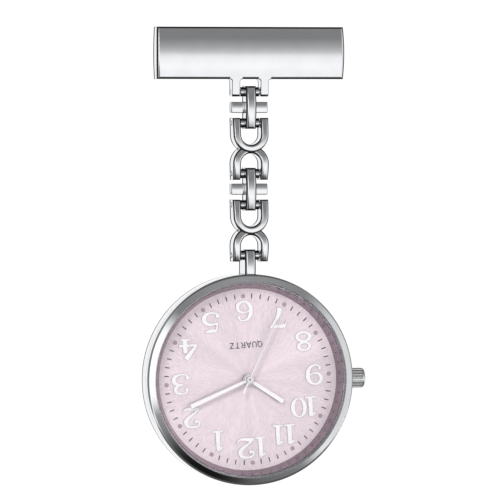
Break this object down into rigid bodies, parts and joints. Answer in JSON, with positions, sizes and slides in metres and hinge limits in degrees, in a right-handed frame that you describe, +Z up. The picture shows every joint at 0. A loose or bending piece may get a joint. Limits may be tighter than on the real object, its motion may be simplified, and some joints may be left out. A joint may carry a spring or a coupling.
{
  "type": "fob watch",
  "caption": "Nurse's fob watch: a chromed bar brooch with a safety pin, a short hinged link chain and a round quartz watch hung upside down.",
  "frame": {"origin": "centre of the plane of the brooch's back rim, which lies on the wearer's clothes", "axes": "+Z up along the hanging chain, +Y back into the clothes, so the dial faces -Y, and +X to the right seen from the front"},
  "size_m": [0.0378, 0.0072, 0.0764],
  "materials": {
    "polished_chrome": "polished",
    "nickel_plate": "satin",
    "spring_steel": "polished",
    "brushed_back_steel": "brushed",
    "crystal_glass": "clear polished",
    "gasket_rubber": "matt",
    "flange_mauve": "gloss",
    "dial_pink": "sunray metallic",
    "numeral_white": "gloss",
    "dot_mauve": "printed",
    "print_dark": "printed",
    "text_grey": "printed",
    "hand_white": "gloss",
    "casing_plastic": "moulded",
    "gear_brass": "satin",
    "plate_brass": "grained",
    "screw_steel": "satin",
    "rotor_plastic": "moulded",
    "magnet_grey": "matt",
    "soft_iron": "satin",
    "coil_copper": "wound enamelled wire",
    "board_green": "gloss"
  },
  "bodies": {
    "brooch": {"brooch_plate": "polished_chrome", "pin_base": "nickel_plate", "pin_hinge_rivet": "nickel_plate", "chain_pin_1": "polished_chrome"},
    "pin_stem": {"pin_stem": "spring_steel"},
    "catch_collar": {"catch_collar": "nickel_plate"},
    "upper_cross_link": {"upper_cross_link": "polished_chrome"},
    "upper_double_link": {"upper_double_link": "polished_chrome", "chain_pin_2": "polished_chrome", "chain_pin_3": "polished_chrome"},
    "lower_cross_link": {"lower_cross_link": "polished_chrome"},
    "lower_double_link": {"lower_double_link": "polished_chrome", "chain_pin_4": "polished_chrome", "chain_pin_5": "polished_chrome"},
    "watch_case": {"case_middle": "polished_chrome", "bezel_ring": "polished_chrome", "crystal": "crystal_glass", "crystal_gasket": "gasket_rubber", "flange_ring": "flange_mauve", "case_back": "brushed_back_steel", "case_back_gasket": "gasket_rubber", "casing_ring": "casing_plastic", "case_tube": "nickel_plate", "dial": "dial_pink", "hour_numerals": "numeral_white", "hour_dots": "dot_mauve", "minute_ticks": "print_dark", "dial_text": "text_grey", "main_plate": "plate_brass", "centre_wheel_bridge": "plate_brass", "train_bridge": "plate_brass", "bridge_screws": "screw_steel", "stator": "soft_iron", "coil_core": "soft_iron", "coil_winding": "coil_copper", "circuit_board": "board_green", "quartz_can": "screw_steel", "battery": "screw_steel", "battery_clamp": "screw_steel"},
    "sliding_pinion": {"sliding_pinion": "spring_steel"},
    "crown": {"crown": "polished_chrome", "crown_gasket": "gasket_rubber", "setting_stem": "spring_steel"},
    "setting_lever": {"setting_lever": "spring_steel"},
    "second_hand": {"second_hand": "hand_white", "seconds_wheel": "gear_brass"},
    "third_wheel": {"third_wheel": "gear_brass"},
    "minute_hand": {"minute_hand": "hand_white", "centre_wheel": "gear_brass"},
    "minute_wheel": {"minute_wheel": "gear_brass"},
    "hour_hand": {"hour_hand": "hand_white", "hour_wheel": "gear_brass"},
    "intermediate_wheel": {"intermediate_wheel": "gear_brass"},
    "rotor": {"rotor_pinion": "rotor_plastic", "rotor_magnet": "magnet_grey"}
  },
  "joints": [
    {"name": "upper_cross_link_swing", "type": "hinge", "parent": "brooch", "child": "upper_cross_link", "pos_m": [0, -0.0013, -0.00645], "axis": [1, 0, 0], "range_deg": [-85, 85]},
    {"name": "upper_double_link_swing", "type": "hinge", "parent": "upper_cross_link", "child": "upper_double_link", "pos_m": [0, -0.0013, -0.01165], "axis": [-1, 0, 0], "range_deg": [-90, 90]},
    {"name": "lower_cross_link_swing", "type": "hinge", "parent": "upper_double_link", "child": "lower_cross_link", "pos_m": [0, -0.0013, -0.02005], "axis": [1, 0, 0], "range_deg": [-90, 90]},
    {"name": "lower_double_link_swing", "type": "hinge", "parent": "lower_cross_link", "child": "lower_double_link", "pos_m": [0, -0.0013, -0.02525], "axis": [-1, 0, 0], "range_deg": [-90, 90]},
    {"name": "watch_swing", "type": "hinge", "parent": "lower_double_link", "child": "watch_case", "pos_m": [0, -0.0013, -0.03365], "axis": [1, 0, 0], "range_deg": [-75, 75]},
    {"name": "pin_stem_open", "type": "hinge", "parent": "brooch", "child": "pin_stem", "pos_m": [0.0113, 0.0006, 0], "axis": [0, 0, -1], "range_deg": [0, 60]},
    {"name": "catch_collar_turn", "type": "hinge", "parent": "brooch", "child": "catch_collar", "pos_m": [-0.0096, 0.0006, 0], "axis": [1, 0, 0], "range_deg": [0, 120]},
    {"name": "crown_turn", "type": "hinge", "parent": "watch_case", "child": "sliding_pinion", "pos_m": [0.00485, 0.0008, -0.0544], "axis": [1, 0, 0], "continuous": true},
    {"name": "crown_pull", "type": "slide", "parent": "sliding_pinion", "child": "crown", "axis": [1, 0, 0], "range_m": [0, 0.0007]},
    {"name": "setting_lever_tip", "type": "hinge", "parent": "watch_case", "child": "setting_lever", "pos_m": [0.00675, 0.0016, -0.05716], "axis": [0, 1, 0], "range_deg": [0, 16.64]},
    {"name": "second_hand_turn", "type": "hinge", "parent": "watch_case", "child": "second_hand", "pos_m": [0, -0.00165, -0.0544], "axis": [0, 1, 0], "continuous": true},
    {"name": "third_wheel_turn", "type": "hinge", "parent": "watch_case", "child": "third_wheel", "pos_m": [0.0018, 0.00185, -0.05128], "axis": [0, 1, 0], "continuous": true},
    {"name": "minute_hand_turn", "type": "hinge", "parent": "watch_case", "child": "minute_hand", "pos_m": [0, -0.00135, -0.0544], "axis": [0, 1, 0], "continuous": true},
    {"name": "minute_wheel_turn", "type": "hinge", "parent": "watch_case", "child": "minute_wheel", "pos_m": [0.00197, 0.00035, -0.05578], "axis": [0, 1, 0], "continuous": true},
    {"name": "hour_hand_turn", "type": "hinge", "parent": "watch_case", "child": "hour_hand", "pos_m": [0, -0.00105, -0.0544], "axis": [0, 1, 0], "continuous": true},
    {"name": "intermediate_wheel_turn", "type": "hinge", "parent": "watch_case", "child": "intermediate_wheel", "pos_m": [-0.00248, 0.00245, -0.0535], "axis": [0, 1, 0], "continuous": true},
    {"name": "rotor_turn", "type": "hinge", "parent": "watch_case", "child": "rotor", "pos_m": [-0.0043, 0.00185, -0.05245], "axis": [0, 1, 0], "continuous": true}
  ],
  "couplings": [
    {"joint": "third_wheel_turn", "follows": "second_hand_turn", "ratio": -0.13333},
    {"joint": "minute_hand_turn", "follows": "second_hand_turn", "ratio": 0.016667},
    {"joint": "minute_wheel_turn", "follows": "second_hand_turn", "ratio": -0.0055556},
    {"joint": "hour_hand_turn", "follows": "second_hand_turn", "ratio": 0.0013889},
    {"joint": "intermediate_wheel_turn", "follows": "second_hand_turn", "ratio": -5},
    {"joint": "rotor_turn", "follows": "second_hand_turn", "ratio": 30},
    {"joint": "setting_lever_tip", "follows": "crown_pull", "rad_per_m": 413.75}
  ]
}
